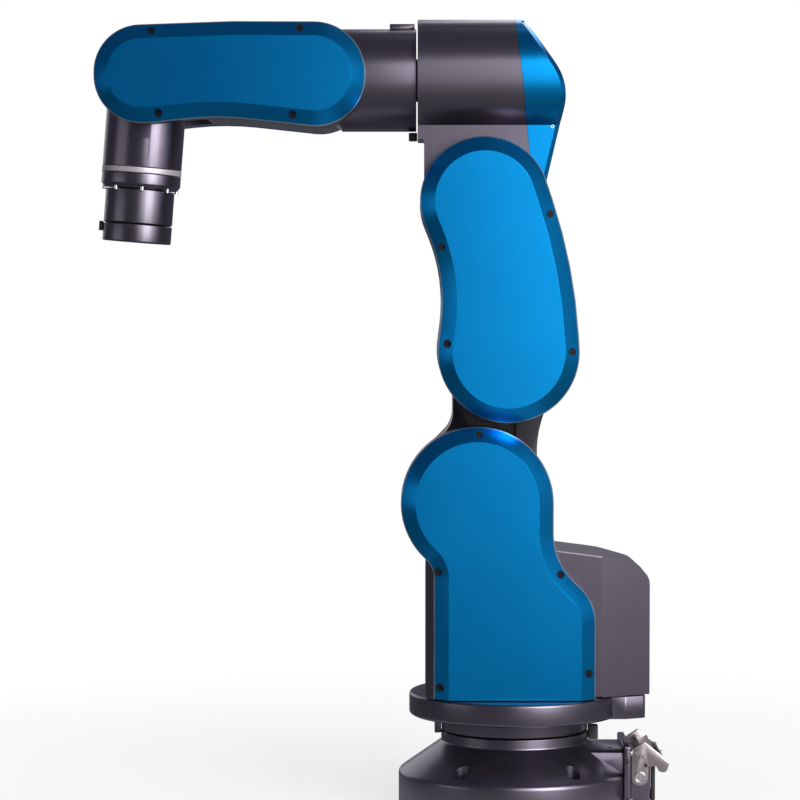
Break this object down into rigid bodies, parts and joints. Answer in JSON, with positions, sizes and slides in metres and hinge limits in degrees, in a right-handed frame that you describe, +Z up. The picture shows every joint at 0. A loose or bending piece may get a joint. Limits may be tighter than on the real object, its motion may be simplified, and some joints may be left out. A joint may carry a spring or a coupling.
{
  "type": "collaborative robot arm",
  "caption": "Compact articulated robot arm: round base, turntable, shoulder, lower arm, elbow, rolling forearm and wrist with a tool flange, driven by belts under wide covers.",
  "frame": {"origin": "centre of the base's bottom face, on the first axis", "axes": "+X in the direction of reach, away from the cable connector; +Y to the arm's left; +Z up along the first axis"},
  "size_m": [0.4808, 0.197, 0.6665],
  "materials": {
    "casting": "satin anodised, dark purple grey",
    "cover": "satin anodised, blue",
    "black": "matt black",
    "steel": "bright brushed steel",
    "belt": "matt black rubber",
    "ring": "plain turned aluminium",
    "tool": "satin anodised, dark grey"
  },
  "bodies": {
    "base": {"base_casting": "casting", "base_bottom_plate": "casting", "base_column": "tool", "j1_stop_block": "black", "connector_housing": "casting", "connector_insert": "black", "connector_seal": "black", "lever_pin_left": "steel", "lever_pin_right": "steel"},
    "lever": {"locking_lever": "steel"},
    "shoulder": {"turntable": "casting", "j1_bearing": "steel", "j1_stop_dog": "casting", "j1_belt": "belt", "j1_motor": "black", "shoulder_housing": "casting", "shoulder_bearing_left": "steel", "shoulder_bearing_right": "steel", "shoulder_cover_left": "cover", "shoulder_cover_right": "cover", "j2_motor": "black", "j2_belt": "belt", "rear_box": "casting"},
    "lower_arm": {"lower_arm_casting": "casting", "elbow_bearing_left": "steel", "elbow_bearing_right": "steel", "lower_arm_cover_left": "cover", "lower_arm_cover_right": "cover", "j3_motor": "black", "j3_belt": "belt", "shoulder_shaft": "steel", "j2_driven_pulley": "steel"},
    "elbow": {"elbow_housing": "casting", "elbow_cap": "cover", "j4_motor": "black", "j4_reducer": "steel", "j4_stop": "black", "elbow_shaft": "steel", "j3_driven_pulley": "steel"},
    "forearm": {"forearm_housing": "casting", "wrist_bearing_left": "steel", "wrist_bearing_right": "steel", "forearm_cover_left": "cover", "forearm_cover_right": "cover", "j5_motor": "black", "j5_belt": "belt", "j4_stop_lug": "casting"},
    "wrist": {"wrist_housing": "casting", "wrist_ring": "ring", "wrist_collar": "casting", "j6_motor": "black", "wrist_shaft": "steel", "j5_driven_pulley": "steel"},
    "flange": {"flange_body": "tool", "tool_flange": "tool", "flange_key": "black"},
    "j1_pulley": {"j1_motor_pulley": "steel"},
    "j2_pulley": {"j2_motor_pulley": "steel"},
    "j3_pulley": {"j3_motor_pulley": "steel"},
    "j5_pulley": {"j5_motor_pulley": "steel"}
  },
  "joints": [
    {"name": "j1_turn", "type": "hinge", "parent": "base", "child": "shoulder", "pos_m": [0, 0, 0.08], "axis": [0, 0, 1], "range_deg": [-165, 165]},
    {"name": "j2_shoulder", "type": "hinge", "parent": "shoulder", "child": "lower_arm", "pos_m": [0.033, 0, 0.262], "axis": [0, 1, 0], "range_deg": [-50, 110]},
    {"name": "j3_elbow", "type": "hinge", "parent": "lower_arm", "child": "elbow", "pos_m": [0.027, 0, 0.512], "axis": [0, -1, 0], "range_deg": [-60, 80]},
    {"name": "j4_roll", "type": "hinge", "parent": "elbow", "child": "forearm", "pos_m": [0.084, 0, 0.6155], "axis": [1, 0, 0], "range_deg": [-155, 155]},
    {"name": "j5_wrist", "type": "hinge", "parent": "forearm", "child": "wrist", "pos_m": [0.31, 0, 0.6155], "axis": [0, -1, 0], "range_deg": [-25, 195]},
    {"name": "j6_flange", "type": "hinge", "parent": "wrist", "child": "flange", "pos_m": [0.31726, 0, 0.52329], "axis": [0.0785, 0, -0.9969], "range_deg": [-360, 360]},
    {"name": "connector_lever", "type": "hinge", "parent": "base", "child": "lever", "pos_m": [-0.104, 0, 0.03], "axis": [0, -1, 0], "range_deg": [0, 60]},
    {"name": "j1_pulley_spin", "type": "hinge", "parent": "shoulder", "child": "j1_pulley", "pos_m": [-0.085, 0, 0.09], "axis": [0, 0, 1], "range_deg": [-660, 660]},
    {"name": "j2_pulley_spin", "type": "hinge", "parent": "shoulder", "child": "j2_pulley", "pos_m": [0.005, 0.05, 0.147], "axis": [0, 1, 0], "range_deg": [-150, 330]},
    {"name": "j3_pulley_spin", "type": "hinge", "parent": "lower_arm", "child": "j3_pulley", "pos_m": [0.0082, 0.05, 0.3873], "axis": [0, -1, 0], "range_deg": [-180, 240]},
    {"name": "j5_pulley_spin", "type": "hinge", "parent": "forearm", "child": "j5_pulley", "pos_m": [0.171, 0.05, 0.616], "axis": [0, -1, 0], "range_deg": [-75, 585]}
  ],
  "couplings": [
    {"joint": "j1_pulley_spin", "follows": "j1_turn", "ratio": -4},
    {"joint": "j2_pulley_spin", "follows": "j2_shoulder", "ratio": 3},
    {"joint": "j3_pulley_spin", "follows": "j3_elbow", "ratio": 3},
    {"joint": "j5_pulley_spin", "follows": "j5_wrist", "ratio": 3}
  ]
}
